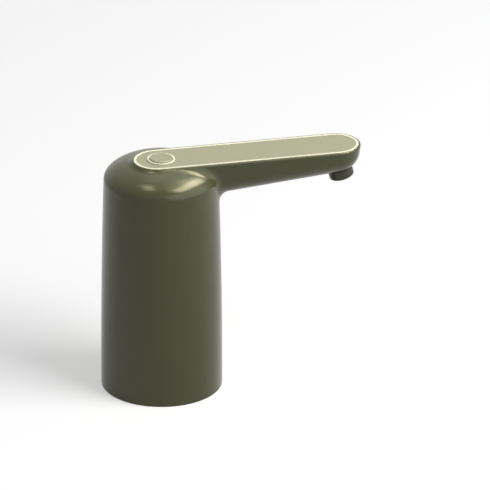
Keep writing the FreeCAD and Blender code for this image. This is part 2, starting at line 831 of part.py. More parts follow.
def make_bracket_screws():
    under = lug_top - lug_thickness
    return [screw_up(small_screw_radius, small_head_radius, small_head_height, under, lug_screw_length,
                     lug_screw_x, y) for y in lug_screw_ys]


def make_button_board():
    disc = cylinder(bracket_radius - button_board_inset, board_bottom, board_bottom + board_thickness)
    holes = [cylinder(stake_radius + fit_gap, board_bottom - over, dome_base, 0, y) for y in stake_ys]
    return disc.cut(holes)


def make_button_switch():
    """The tact switch's body, with the bore its plunger slides in."""
    half = switch_side / 2
    body = block(-half, half, -half, half, board_bottom + board_thickness, switch_top)
    return body.cut(cylinder(switch_plunger_radius + fit_gap, plunger_bottom - button_travel - fit_gap,
                             switch_top + over))


def make_switch_plunger():
    return cylinder(switch_plunger_radius, plunger_bottom, dome_top - dome_wall - running_gap)


def make_nozzle():
    """The round collar under the tip: a mouth below the barrel's seat, and a fine neck against the arm."""
    collar = along_nozzle(nozzle_radius, 0, nozzle_wall_top)
    mouth_rim = [e for e in collar.Edges if e.Closed and abs(e.CenterOfMass.z - nozzle_mouth.z) < 0.1]
    collar = collar.makeFillet(nozzle_edge_round, mouth_rim)
    neck = along_nozzle(nozzle_radius - nozzle_neck_step, nozzle_wall_top - root, nozzle_reach)
    collar = joined([collar, neck])
    groove = along_nozzle(elbow_barrel_radius + 2 * seal_cord_radius, seal_along_nozzle - seal_cord_radius,
                          seal_along_nozzle + seal_cord_radius)
    cuts = [along_nozzle(nozzle_mouth_radius, -over, nozzle_lip), groove]
    cuts.append(along_nozzle(elbow_barrel_radius + running_gap, nozzle_lip, nozzle_reach + over))
    return collar.cut(cuts).cut(arm_outer())


def make_nozzle_seal():
    centre = nozzle_mouth - nozzle_direction * seal_along_nozzle
    cord = seal_cord_radius - seal_slack
    return Part.makeTorus(elbow_barrel_radius + seal_cord_radius, cord, centre, nozzle_direction)


def make_spout_elbow():
    """The fitting at the hose's end: a spigot, a barrel down through the arm's floor, and a flange on it."""
    ceiling = ledge_top - 2 * fit_gap
    barrel = along_nozzle(elbow_barrel_radius, nozzle_lip + fit_gap, nozzle_reach + elbow_barrel_extra)
    barrel = barrel.common(block(0, arm_end_x, -arm_top_radius, arm_top_radius, 0, ceiling))
    flange = along_nozzle(elbow_flange_radius, 0, nozzle_reach).common(arm_pocket())
    flange = flange.common(below_line(flange_top_at, 0, arm_end_x, arm_top_radius, 0))
    spigot = rod(hose_bore_radius, (elbow_inlet_x, 0, hose_run_z), (elbow_axis_x, 0, hose_run_z))
    collar = rod(hose_bore_radius + spigot_collar_step, (hose_end_x + fit_gap, 0, hose_run_z),
                 (elbow_axis_x, 0, hose_run_z))
    fitting = joined([barrel, flange, collar, spigot])
    ways = [rod(water_way_radius, (elbow_inlet_x - over, 0, hose_run_z), (elbow_axis_x, 0, hose_run_z))]
    ways.append(along_nozzle(elbow_bore_radius, 0, elbow_bore_length))
    return fitting.cut(ways)


def make_outlet_hose():
    """The hose: up beside the motor, one bend, and along the arm to the elbow."""
    start = Vector(hose_x, 0, hose_start_z)
    bend_from = Vector(hose_x, 0, hose_run_z - hose_bend_radius)
    bend_to = Vector(hose_x + hose_bend_radius, 0, hose_run_z)
    reach = hose_bend_radius * (1 - math.cos(math.pi / 4))
    middle = Vector(hose_x + reach, 0, hose_run_z - reach)
    end = Vector(hose_end_x, 0, hose_run_z)
    edges = [Part.makeLine(start, bend_from), Part.Arc(bend_from, middle, bend_to).toShape()]
    path = Part.Wire(edges + [Part.makeLine(bend_to, end)])
    tubes = [path.makePipeShell([circle_wire(r, start, Vector(0, 0, 1))], True, False)
             for r in (hose_outer_radius, hose_bore_radius)]
    return tubes[0].cut(tubes[1])


def circle_wire(radius, centre, normal):
    return Part.Wire([Part.Circle(centre, normal, radius).toShape()])


def make_hose_clips():
    """A spring clip on each end of the hose: a band with two ears."""
    inner = hose_outer_radius
    outer = inner + clip_thickness
    upright = ring(outer, inner, 0, clip_width)
    ears = [block(-outer - clip_ear_reach, -inner - fit_gap, y, y + clip_thickness, 0, clip_width)
            for y in (-clip_gap_half - clip_thickness, clip_gap_half)]
    gap = block(-outer - over, -inner + root, -clip_gap_half, clip_gap_half, -over, clip_width + over)
    clip = joined([upright.cut(gap)] + ears)
    first = clip.copy()
    first.rotate(Vector(0, 0, 0), Vector(0, 0, 1), 90)
    first.translate(Vector(hose_x, 0, hose_start_z + clip_from_end))
    second = clip.copy()
    second.rotate(Vector(0, 0, 0), Vector(0, 1, 0), 90)
    second.rotate(Vector(0, 0, 0), Vector(1, 0, 0), 90)
    second.translate(Vector(elbow_inlet_x + clip_from_end, 0, hose_run_z))
    return [first, second]


def make_chassis():
    """The inner frame: a round plate on four legs, a seat for the cell holder and a post for the board."""
    plate = cylinder(inner_radius_at(chassis_bottom) - 2 * loose_gap, chassis_bottom, chassis_top)
    legs = []
    for angle in leg_angles:
        x, y = turned(leg_circle_radius, angle)
        legs.append(cylinder(leg_radius, base_ceiling_top, chassis_bottom + root, x, y))
    seat = ring(holder_radius + fit_gap + holder_wall, holder_radius + fit_gap, chassis_top - root,
                chassis_top + holder_seat_height, cell_x, cell_y)
    seat = seat.cut(cylinder(motor_radius + 2 * loose_gap, chassis_top, arm_top, motor_x, motor_y))
    seat = seat.common(cylinder(inner_radius_at(chassis_top) - 2 * loose_gap, 0, arm_top))
    post = to_port(block(board_x0 + post_from_board_start, board_x1 - post_from_board_end, post_y0, post_y1,
                         chassis_top - root, board_top - post_below_board_top))
    pads = [to_port(rod(post_pad_radius, (board_screw_x, post_y1 - root, z), (board_screw_x, board_y0, z)))
            for z in board_screw_zs]
    frame = joined([plate, seat, post] + legs + pads)
    cuts = [cylinder(bush_radius + fit_gap, chassis_bottom - over, chassis_top + over, motor_x, motor_y)]
    cuts += [cylinder(medium_screw_radius + fit_gap, chassis_bottom - over, chassis_top + over, motor_x, y)
             for y in motor_screw_ys]
    cuts += [cylinder(medium_screw_radius + screw_bite, chassis_bottom - over, chassis_top - blind_roof, x, y)
             for x, y in pump_screw_places]
    cuts += [cylinder(large_screw_radius + fit_gap, chassis_bottom - over, chassis_top + over,
                      *turned(chassis_screw_circle_radius, angle)) for angle in chassis_screw_angles]
    cuts += [cylinder(large_screw_radius + screw_bite, base_ceiling_top - over,
                      base_ceiling_top + large_screw_length, *turned(leg_circle_radius, angle))
             for angle in leg_angles]
    cuts.append(cylinder(lobe_radius + loose_gap, chassis_bottom - over, chassis_top + over, hose_x))
    cuts.append(block(hose_x, body_base_radius, -lobe_radius - loose_gap, lobe_radius + loose_gap,
                      chassis_bottom - over, chassis_top + over))
    cuts += [to_port(rod(small_screw_radius + screw_bite, (board_screw_x, post_y0 + post_skin, z),
                         (board_screw_x, 0, z))) for z in board_screw_zs]
    return frame.cut(cuts)


def make_chassis_screws():
    return [screw_up(large_screw_radius, large_head_radius, large_head_height, chassis_bottom,
                     chassis_plate + boss_height - boss_roof - screw_end_gap,
                     *turned(chassis_screw_circle_radius, angle))
            for angle in chassis_screw_angles]


def make_battery_cell():
    low = chassis_top + holder_floor + tab_thickness
    can = cylinder(cell_radius, low, low + cell_length, cell_x, cell_y)
    rims = [e for e in can.Edges if e.Closed]
    return can.makeFillet(cell_edge_round, rims)


def make_battery_holder():
    """An open tray round the cell: a floor, and a wall that is open towards the motor."""
    top = cell_top + tab_thickness + loose_gap
    wall = ring(holder_radius, holder_radius - holder_wall, chassis_top, top, cell_x, cell_y)
    floor = cylinder(holder_radius, chassis_top, chassis_top + holder_floor, cell_x, cell_y)
    half = holder_opening_share * holder_radius
    opening = block(0, 3 * holder_radius, -half, half, chassis_top + holder_floor, top + over)
    opening.rotate(Vector(0, 0, 0), Vector(0, 0, 1), cell_bearing + 180)
    opening.translate(Vector(cell_x, cell_y, 0))
    clear_of_motor = cylinder(motor_radius + loose_gap, chassis_top - over, top, motor_x, motor_y)
    return joined([wall, floor]).cut([opening, clear_of_motor])


def make_cell_tabs():
    """The two contact plates on the cell's ends."""
    low = chassis_top + holder_floor
    return [cylinder(cell_radius - tab_inset, z, z + tab_thickness, cell_x, cell_y) for z in (low, cell_top)]


def make_main_board():
    board = block(board_x0, board_x1, board_y0, board_y0 + board_thickness, board_bottom_z, board_top)
    board = board.cut([rod(small_screw_radius + fit_gap, (board_screw_x, board_y0 - over, z),
                           (board_screw_x, board_y0 + board_thickness + over, z)) for z in board_screw_zs])
    return to_port(board)


def make_board_screws():
    screws = []
    for z in board_screw_zs:
        seat = board_y0 + board_thickness
        head = rod(small_head_radius, (board_screw_x, seat, z), (board_screw_x, seat + small_head_height, z))
        shank = rod(small_screw_radius, (board_screw_x, seat + root, z),
                    (board_screw_x, post_y0 + 2 * post_skin, z))
        screws.append(to_port(joined([head, shank])))
    return screws


def make_charge_socket():
    """A charging receptacle: a flat oval shell that is closed behind, with a tongue in its mouth."""
    x0 = pad_inner_x + loose_gap
    x1 = x0 + socket_length
    shell = rounded_slot(socket_thickness / 2, socket_height / 2, x0, x1)
    room = rounded_slot(socket_thickness / 2 - socket_wall, socket_height / 2 - socket_wall,
                        x0 - over, x1 - over)
    tongue = block(x0 + tongue_inset, x1 - root, -tongue_half_thickness, tongue_half_thickness,
                   port_height - tongue_half_width, port_height + tongue_half_width)
    return to_port(joined([shell.cut(room), tongue]))


def make_port_cover():
    """The rubber flap over the charging port: a plate flush with the wall, a neck and a round root."""
    low = port_height - port_cover_below
    plate = block(-body_base_radius - over, pocket_floor_x - fit_gap, -port_cover_half_width,
                  port_cover_half_width, low, port_height + port_cover_above)
    plate = plate.common(dome_profile_solid(0))
    neck = block(hinge_x - port_knuckle_radius, hinge_x + port_knuckle_radius, -port_knuckle_half_width,
                 port_knuckle_half_width, port_height + port_cover_above - root, hinge_z)
    knuckle = rod(port_knuckle_radius, (hinge_x, -port_knuckle_half_width, hinge_z),
                  (hinge_x, port_knuckle_half_width, hinge_z))
    plug = rounded_slot(socket_thickness / 2, socket_height / 2, pocket_floor_x - fit_gap - root,
                        pocket_floor_x - fit_gap + port_plug_depth)
    cover = joined([plate, neck, knuckle, plug])
    half = port_knuckle_half_width + over
    bore = rod(cover_pin_radius + running_gap, (hinge_x, -half, hinge_z), (hinge_x, half, hinge_z))
    return to_port(cover.cut(bore))


def make_cover_pin():
    return to_port(rod(cover_pin_radius, (hinge_x, -cover_pin_half_length, hinge_z),
                       (hinge_x, cover_pin_half_length, hinge_z)))


def make_motor_can():
    """The motor's steel cup, open at the top."""
    top = chassis_top + motor_length
    cup = cylinder(motor_radius, chassis_top, top, motor_x, motor_y)
    inside = chassis_top + motor_face
    cuts = [cylinder(motor_radius - motor_can_wall, inside, top + over, motor_x, motor_y)]
    cuts.append(cylinder(bush_radius, chassis_top - over, inside + over, motor_x, motor_y))
    cuts += [cylinder(medium_screw_radius + screw_bite, chassis_top - over, inside + over, motor_x, y)
             for y in motor_screw_ys]
    return cup.cut(cuts)


def make_motor_magnets():
    outer = motor_radius - motor_can_wall
    tube = ring(outer, outer - magnet_thickness, magnet_low, magnet_high, motor_x, motor_y)
    gap = block(motor_x - magnet_gap_half, motor_x + magnet_gap_half, motor_y - motor_radius,
                motor_y + motor_radius, magnet_low - over, magnet_high + over)
    return tube.cut(gap).Solids


def armature_poles(clearance=0.0):
    """The three arms of the armature's core."""
    half = pole_half_width + clearance
    arms = []
    for turn in range(3):
        arm = block(0, armature_radius - shoe_thickness + pole_root, -half, half, armature_low, armature_high)
        arm.rotate(Vector(0, 0, 0), Vector(0, 0, 1), 120 * turn)
        arms.append(moved(arm, motor_x, motor_y))
    return arms


def make_motor_armature():
    """The iron core: a hub, three arms and three curved shoes."""
    hub = cylinder(armature_hub_radius, armature_low, armature_high, motor_x, motor_y)
    shoes = ring(armature_radius, armature_radius - shoe_thickness, armature_low, armature_high,
                 motor_x, motor_y)
    gaps = []
    for turn in range(3):
        gap = block(0, 2 * armature_radius, -shoe_gap_half, shoe_gap_half, armature_low - over,
                    armature_high + over)
        gap.rotate(Vector(0, 0, 0), Vector(0, 0, 1), 60 + 120 * turn)
        gaps.append(moved(gap, motor_x, motor_y))
    core = joined([hub, shoes.cut(gaps)] + armature_poles())
    return core.cut(cylinder(motor_shaft_radius, armature_low - over, armature_high + over, motor_x, motor_y))


def make_motor_windings():
    """The copper between the arms, as three blocks."""
    copper = ring(armature_radius - shoe_thickness - fit_gap, armature_hub_radius + fit_gap,
                  armature_low, armature_high, motor_x, motor_y)
    return copper.cut(armature_poles(fit_gap)).Solids


def make_motor_shaft():
    return cylinder(motor_shaft_radius, shaft_low, shaft_high, motor_x, motor_y)


def make_motor_commutator():
    low = armature_high + commutator_gap
    return ring(commutator_radius, motor_shaft_radius, low, cap_flange_low, motor_x, motor_y)


def make_motor_bushes():
    """The two plain bearings that the shaft runs in."""
    bore = motor_shaft_radius + running_gap
    front = ring(bush_radius, bore, chassis_top, chassis_top + bush_length, motor_x, motor_y)
    rear_top = cap_hub_top - cap_hub_roof
    rear = ring(bush_radius, bore, rear_top - rear_bush_length, rear_top, motor_x, motor_y)
    return [front, rear]


def make_motor_end_cap():
    """The plastic cap on the motor's open end, with the rear bearing's hub and a chamber for the brushes."""
    plug_radius = motor_radius - motor_can_wall - running_gap
    flange_radius = motor_radius - loose_gap
    flange_high = cap_flange_low + cap_flange
    room_top = cap_hub_top - cap_hub_roof
    outline = [(brush_chamber_radius, cap_flange_low - cap_plug), (plug_radius, cap_flange_low - cap_plug)]
    outline += [(plug_radius, cap_flange_low), (flange_radius, cap_flange_low), (flange_radius, flange_high)]
    outline += [(cap_hub_radius, flange_high), (cap_hub_radius, cap_hub_top), (0, cap_hub_top), (0, room_top)]
    outline += [(bush_radius, room_top), (bush_radius, cap_flange_low)]
    outline += [(brush_chamber_radius, cap_flange_low)]
    return moved(lathe(outline), motor_x, motor_y)


def make_motor_brushes():
    """Two brushes on the commutator and the two terminal blades on the cap."""
    pieces = []
    for side in (-1, 1):
        near = commutator_radius + running_gap
        far = brush_chamber_radius - fit_gap
        xs = sorted([motor_x + side * near, motor_x + side * far])
        pieces.append(block(xs[0], xs[1], motor_y - brush_half_width, motor_y + brush_half_width,
                            brush_low, brush_high))
        x = motor_x + side * terminal_reach
        pieces.append(block(x - terminal_half_width, x + terminal_half_width,
                            motor_y - terminal_half_thickness, motor_y + terminal_half_thickness,
                            cap_flange_low + cap_flange, terminal_top))
    return pieces


def make_motor_screws():
    return [screw_up(medium_screw_radius, medium_head_radius, motor_head_height, chassis_bottom,
                     chassis_plate + motor_face - loose_gap, motor_x, y) for y in motor_screw_ys]


def pump_outline(low, high):
    return rounded_block(nip_x - pump_half_x, nip_x + pump_half_x, -pump_half_y, pump_half_y, low, high,
                         pump_corner)


def chamber(radius, low, high):
    """The room for the two gears and the ports on both sides of their mesh."""
    rooms = [cylinder(radius, low, high, motor_x, motor_y), cylinder(radius, low, high, nip_x, idler_y)]
    port = water_way_radius + radius - chamber_radius + chamber_port_extra
    rooms.append(cylinder(port, low, high))
    rooms.append(block(0, nip_x - mesh_half_width, -port, port, low, high))
    rooms.append(block(nip_x + mesh_half_width, nip_x + chamber_radius + chamber_port_reach, -port, port,
                       low, high))
    return joined(rooms)


def make_pump_body():
    """The pump's housing: gear chamber below, seal pocket above, and a lobe that turns the water up."""
    main = pump_outline(chamber_bottom, chassis_bottom)
    right = nip_x + pump_half_x
    lobe = rod(lobe_pipe_radius, (right + fit_gap, 0, way_z), (hose_x, 0, way_z))
    corner = cylinder(lobe_radius, way_z - lobe_radius, chassis_bottom, hose_x)
    half = lobe_radius - lobe_link_inset
    link = block(right - over, right + lobe_link_reach, -half, half, chamber_bottom, way_z + half)
    collar = cylinder(hose_bore_radius + spigot_collar_step, chassis_bottom - over, hose_start_z - fit_gap,
                      hose_x)
    spigot = cylinder(hose_bore_radius, chassis_bottom, hose_start_z + spigot_length, hose_x)
    body = joined([main, lobe, corner, link, collar, spigot])
    cuts = [chamber(chamber_radius, chamber_bottom - over, chamber_top)]
    cuts.append(rod(water_way_radius, (nip_x + gear_pitch_radius, 0, way_z), (hose_x, 0, way_z)))
    cuts.append(cylinder(water_way_radius, way_z, hose_start_z + spigot_length + over, hose_x))
    cuts.append(cylinder(motor_shaft_radius + fit_gap, chamber_top - over, chassis_bottom + over,
                         motor_x, motor_y))
    cuts.append(cylinder(seal_radius, seal_low - loose_gap, chassis_bottom + over, motor_x, motor_y))
    cuts.append(cylinder(idler_pin_radius, chamber_top - over, idler_pin_top + loose_gap, nip_x, idler_y))
    cuts += [cylinder(medium_screw_radius + fit_gap, chamber_bottom - over, chassis_bottom + over, x, y)
             for x, y in pump_screw_places]
    cuts += [cylinder(medium_head_radius + loose_gap, chassis_bottom - motor_head_height - loose_gap,
                      chassis_bottom + over, motor_x, y) for y in motor_screw_ys]
    return body.cut(cuts)


def make_pump_gasket():
    plate = pump_outline(pump_gasket_bottom, chamber_bottom)
    cuts = [chamber(chamber_radius + loose_gap, pump_gasket_bottom - over, chamber_bottom + over)]
    cuts += [cylinder(medium_screw_radius + fit_gap, pump_gasket_bottom - over, chamber_bottom + over, x, y)
             for x, y in pump_screw_places]
    return plate.cut(cuts)


def make_pump_cover():
    """The pump's lower cover, with the inlet spigot that reaches down into the neck socket."""
    plate = pump_outline(pump_cover_bottom, pump_gasket_bottom)
    collar = cylinder(inlet_collar_radius, inlet_collar_bottom, pump_cover_bottom + root)
    tip = inlet_collar_bottom - inlet_spigot_length
    spigot = cylinder(inlet_spigot_radius, tip, inlet_collar_bottom + root)
    nose = Part.makeCone(inlet_spigot_radius - spigot_chamfer, inlet_spigot_radius, spigot_chamfer,
                         Vector(0, 0, tip - spigot_chamfer))
    cover = joined([plate, collar, spigot, nose])
    pit_floor = shaft_low - shaft_end_gap
    cuts = [cylinder(water_way_radius, tip - spigot_chamfer - over, pump_gasket_bottom + over)]
    cuts.append(cylinder(motor_shaft_radius + running_gap, pit_floor, pump_gasket_bottom + over,
                         motor_x, motor_y))
    cuts.append(cylinder(idler_pin_radius, pit_floor, pump_gasket_bottom + over, nip_x, idler_y))
    cuts += [cylinder(medium_screw_radius + fit_gap, pump_cover_bottom - over, pump_gasket_bottom + over,
                      x, y) for x, y in pump_screw_places]
    return cover.cut(cuts)


def make_pump_screws():
    length = chassis_top - blind_roof - loose_gap - pump_cover_bottom
    return [screw_up(medium_screw_radius, medium_head_radius, medium_head_height, pump_cover_bottom, length,
                     x, y) for x, y in pump_screw_places]


def gear(centre_x, centre_y, bore, first_tooth):
    """A spur gear with involute teeth; the first tooth points at the angle given, in degrees."""
    pressure = math.radians(gear_pressure_angle)
    base = gear_pitch_radius * math.cos(pressure)
    root = gear_pitch_radius - gear_dedendum * gear_module
    thickness = math.pi * gear_module / 2 - gear_backlash
    half_at_pitch = thickness / (2 * gear_pitch_radius) + math.tan(pressure) - pressure
    flank = []
    for step in range(flank_steps + 1):
        radius = base + (gear_tip_radius - base) * step / flank_steps
        angle = math.acos(base / radius)
        flank.append((radius, half_at_pitch - (math.tan(angle) - angle)))
    side = [(root, flank[0][1])] + flank
    tooth = [(r, -a) for r, a in side] + [(r, a) for r, a in reversed(side)]
    corners = []
    for number in range(gear_teeth):
        middle = math.radians(first_tooth) + 2 * math.pi * number / gear_teeth
        corners += [Vector(centre_x + r * math.cos(middle + a), centre_y + r * math.sin(middle + a), gear_low)
                    for r, a in tooth]
    face = Part.Face(Part.makePolygon(corners + corners[:1]))
    blank = face.extrude(Vector(0, 0, gear_width))
    return blank.cut(cylinder(bore, gear_low - over, gear_low + gear_width + over, centre_x, centre_y))


def make_drive_gear():
    return gear(motor_x, motor_y, motor_shaft_radius, -90)


def make_driven_gear():
    return gear(nip_x, idler_y, idler_pin_radius + running_gap, 90 + 180 / gear_teeth)


def make_idler_pin():
    return cylinder(idler_pin_radius, shaft_low, idler_pin_top, nip_x, idler_y)


def make_shaft_seal():
    return ring(seal_radius, motor_shaft_radius + running_gap, seal_low, chassis_bottom - loose_gap,
                motor_x, motor_y)


def make_base_plate():
    """Closes the body from below: a skirt, a seat for the liner and the ceiling of the neck socket."""
    liner_radius = neck_bore_radius + neck_liner_wall
    room_radius = neck_bore_radius + neck_room_gap
    outline = [(liner_radius, base_recess), (inner_radius_at(base_recess) - loose_gap, base_recess)]
    outline += [(inner_radius_at(base_ceiling_top) - loose_gap, base_ceiling_top), (0, base_ceiling_top)]
    outline += [(0, neck_room_height), (room_radius, neck_room_height), (room_radius, neck_bore_top)]
    outline += [(liner_radius, neck_bore_top)]
    plate = lathe(outline)
    cuts = [cylinder(inlet_collar_radius + fit_gap, neck_room_height - over, base_ceiling_top + over)]
    groove_middle = neck_room_height + base_ceiling / 2
    cuts.append(cylinder(inlet_collar_radius + 2 * seal_cord_radius, groove_middle - seal_cord_radius,
                         groove_middle + seal_cord_radius))
    cuts += [cylinder(large_screw_radius + fit_gap, neck_room_height - over, base_ceiling_top + over,
                      *turned(leg_circle_radius, angle)) for angle in leg_angles]
    return plate.cut(cuts)


def make_inlet_seal():
    centre = Vector(0, 0, neck_room_height + base_ceiling / 2)
    cord = seal_cord_radius - seal_slack
    return Part.makeTorus(inlet_collar_radius + seal_cord_radius, cord, centre, Vector(0, 0, 1))


def make_neck_liner():
    """The soft sleeve that grips the container's neck, with a lip under the base plate."""
    outer = neck_bore_radius + neck_liner_wall
    lip = inner_radius_at(0) - 2 * loose_gap
    outline = [(neck_bore_radius + liner_chamfer, liner_low), (lip, liner_low), (lip, base_recess)]
    outline += [(outer, base_recess), (outer, neck_bore_top), (neck_bore_radius, neck_bore_top)]
    outline += [(neck_bore_radius, liner_low + liner_chamfer)]
    return lathe(outline)


def make_base_screws():
    return [screw_up(large_screw_radius, large_head_radius, large_head_height, neck_room_height,
                     base_ceiling + large_screw_length - screw_end_gap, *turned(leg_circle_radius, angle))
            for angle in leg_angles]


def lead(points, radius, bend):
    """A wire: straight runs joined by arcs of one radius."""
    corners = [Vector(*p) for p in points]
    edges = []
    start = corners[0]
    for before, here, after in zip(corners, corners[1:], corners[2:]):
        way_in = (here - before).normalize()
        way_out = (after - here).normalize()
        turn = way_in.getAngle(way_out)
        setback = bend * math.tan(turn / 2)
        arc_from = here - way_in * setback
        arc_to = here + way_out * setback
        inward = (way_out - way_in).normalize()
        arc_middle = here + inward * (bend / math.cos(turn / 2) - bend)
        edges.append(Part.makeLine(start, arc_from))
        edges.append(Part.Arc(arc_from, arc_middle, arc_to).toShape())
        start = arc_to
    edges.append(Part.makeLine(start, corners[-1]))
    first_way = corners[1] - corners[0]
    section = circle_wire(radius, corners[0], first_way)
    return Part.Wire(edges).makePipeShell([section], True, False)


def over_the_top(x0, y0, z0, high, along_board):
    """A wire's route from a point, up, across at one level and down onto the board's top edge."""
    x1, y1 = at_port(along_board, board_y0 + board_thickness / 2)
    return [(x0, y0, z0), (x0, y0, high), (x1, y1, high), (x1, y1, board_top)]


def make_motor_leads():
    routes = []
    for side, level, inset in zip((-1, 1), motor_lead_levels, motor_lead_insets):
        x = motor_x + side * terminal_reach
        routes.append(over_the_top(x, motor_y, terminal_top, board_top + level, board_x1 - inset))
    return [lead(route, lead_radius, lead_bend) for route in routes]


def make_cell_leads():
    angle = math.radians(cell_bearing + 180 + cell_lead_turn)
    reach = cell_radius + lead_radius + fit_gap
    low_x = cell_x + reach * math.cos(angle)
    low_y = cell_y + reach * math.sin(angle)
    low_z = chassis_top + holder_floor
    level = board_top + cell_lead_level
    places = [board_x0 + place for place in cell_lead_places]
    routes = [over_the_top(low_x, low_y, low_z, level, places[0])]
    top = cell_top + tab_thickness
    routes.append(over_the_top(cell_x, cell_y + cell_lead_offset, top, top + cell_lead_rise, places[1]))
    return [lead(route, lead_radius, lead_bend) for route in routes]


def make_button_lead():
    route = over_the_top(button_lead_x, 0, board_bottom, board_bottom - button_lead_drop,
                         board_x0 + button_lead_place)
    return lead(route, lead_radius, lead_bend)


PIECES = {
    "main_housing": make_main_housing,
    "top_panel": make_top_panel,
    "panel_trim": make_panel_trim,
    "panel_gasket": make_panel_gasket,
    "button_ring": make_button_ring,
    "button_cap": make_button_cap,
    "button_dome": make_button_dome,
    "switch_bracket": make_switch_bracket,
    "bracket_screws": make_bracket_screws,
    "button_board": make_button_board,
    "button_switch": make_button_switch,
    "switch_plunger": make_switch_plunger,
    "nozzle": make_nozzle,
    "nozzle_seal": make_nozzle_seal,
    "spout_elbow": make_spout_elbow,
    "outlet_hose": make_outlet_hose,
    "hose_clips": make_hose_clips,
    "chassis": make_chassis,
    "chassis_screws": make_chassis_screws,
    "battery_cell": make_battery_cell,
    "battery_holder": make_battery_holder,
    "cell_tabs": make_cell_tabs,
    "main_board": make_main_board,
    "board_screws": make_board_screws,
    "charge_socket": make_charge_socket,
    "port_cover": make_port_cover,
    "cover_pin": make_cover_pin,
    "motor_can": make_motor_can,
    "motor_magnets": make_motor_magnets,
    "motor_armature": make_motor_armature,
    "motor_windings": make_motor_windings,
    "motor_shaft": make_motor_shaft,
    "motor_commutator": make_motor_commutator,
    "motor_bushes": make_motor_bushes,
    "motor_end_cap": make_motor_end_cap,
    "motor_brushes": make_motor_brushes,
    "motor_screws": make_motor_screws,
    "pump_body": make_pump_body,
    "pump_gasket": make_pump_gasket,
    "pump_cover": make_pump_cover,
    "pump_screws": make_pump_screws,
    "drive_gear": make_drive_gear,
    "driven_gear": make_driven_gear,
    "idler_pin": make_idler_pin,
    "shaft_seal": make_shaft_seal,
    "base_plate": make_base_plate,
    "inlet_seal": make_inlet_seal,
    "neck_liner": make_neck_liner,
    "base_screws": make_base_screws,
    "motor_leads": make_motor_leads,
    "cell_leads": make_cell_leads,
    "button_lead": make_button_lead,
}


def write_pieces():
    """Builds each piece and writes it to a STEP file under its node's name."""
    os.makedirs("parts", exist_ok=True)
    for name, make in PIECES.items():
        made = make()
        shape = Part.makeCompound(made) if isinstance(made, list) else made
        print(f"{name}: {len(shape.Solids)} solid(s), {shape.Volume:.1f} mm3, valid {shape.isValid()}")
        shape.exportStep(f"parts/{name}.step")


if __name__ == "__main__":
    write_pieces()
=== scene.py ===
import math

import bpy
from mathutils import Matrix, Vector

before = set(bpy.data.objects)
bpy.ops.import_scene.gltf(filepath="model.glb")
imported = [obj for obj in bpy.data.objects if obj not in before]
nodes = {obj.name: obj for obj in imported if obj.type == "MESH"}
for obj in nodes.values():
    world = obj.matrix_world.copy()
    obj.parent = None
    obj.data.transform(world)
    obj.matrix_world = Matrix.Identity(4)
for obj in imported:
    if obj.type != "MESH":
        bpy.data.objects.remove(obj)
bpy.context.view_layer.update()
MM = 0.001


# Camera: it looks as the photograph's does, and the middle of the foot lies on its pixel of the picture.
# Distances are in metres and the sensor's width in millimetres.

IMAGE_SIDE = 490
CAMERA_DISTANCE = 6.0
CAMERA_ELEVATION = math.radians(24.9)
CAMERA_SWING = math.radians(-12.5)
PIXELS_PER_MM = 1.779
FOOT_PIXEL = (161.85, 381.05)
SENSOR_WIDTH = 36.0
CLIP_END = 100.0


def camera_axes():
    """Right, up and back of the camera: the world turned by the swing about Z, then tipped up."""
    right = Vector((math.cos(CAMERA_SWING), math.sin(CAMERA_SWING), 0))
    away = Vector((-math.sin(CAMERA_SWING), math.cos(CAMERA_SWING), 0))
    up = away * math.sin(CAMERA_ELEVATION) + Vector((0, 0, math.cos(CAMERA_ELEVATION)))
    return right, up, right.cross(up)


def make_camera():
    """A long lens; its place is back x distance, moved aside and up until the foot lies on its pixel."""
    right, up, back = camera_axes()
    middle = IMAGE_SIDE / 2
    aside = (middle - FOOT_PIXEL[0]) / PIXELS_PER_MM * MM
    above = (FOOT_PIXEL[1] - middle) / PIXELS_PER_MM * MM
    data = bpy.data.cameras.new("camera")
    data.sensor_width = SENSOR_WIDTH
    data.lens = PIXELS_PER_MM / MM * CAMERA_DISTANCE * SENSOR_WIDTH / IMAGE_SIDE
    data.clip_end = CLIP_END
    camera = bpy.data.objects.new("camera", data)
    bpy.context.scene.collection.objects.link(camera)
    place = back * CAMERA_DISTANCE + right * aside + up * above
    turn = Matrix((right, up, back)).transposed().to_4x4()
    camera.matrix_world = Matrix.Translation(place) @ turn
    bpy.context.scene.camera = camera


# Finishes: colours are linear, sizes and depths of the patterns are in millimetres.
# A stretch below 1 draws a pattern out along that axis.

NO_STRETCH = (1, 1, 1)
DRAWN_ALONG_Z = (1, 1, 0.06)
TURNED_ROUND = (0.05, 0.05, 1)
NOISE_LOW = 0.3
NOISE_HIGH = 0.7
PLAIN_TINT = (1, 1, 1, 1)
WARM_TINT = (1.0, 0.985, 0.80, 1)
OLIVE = (0.0455, 0.047, 0.0183)
DULL_OLIVE = (0.044, 0.046, 0.021)
KHAKI = (0.268, 0.270, 0.190)
CREAM = (0.59, 0.59, 0.50)
BLACK_OLIVE = (0.018, 0.018, 0.010)


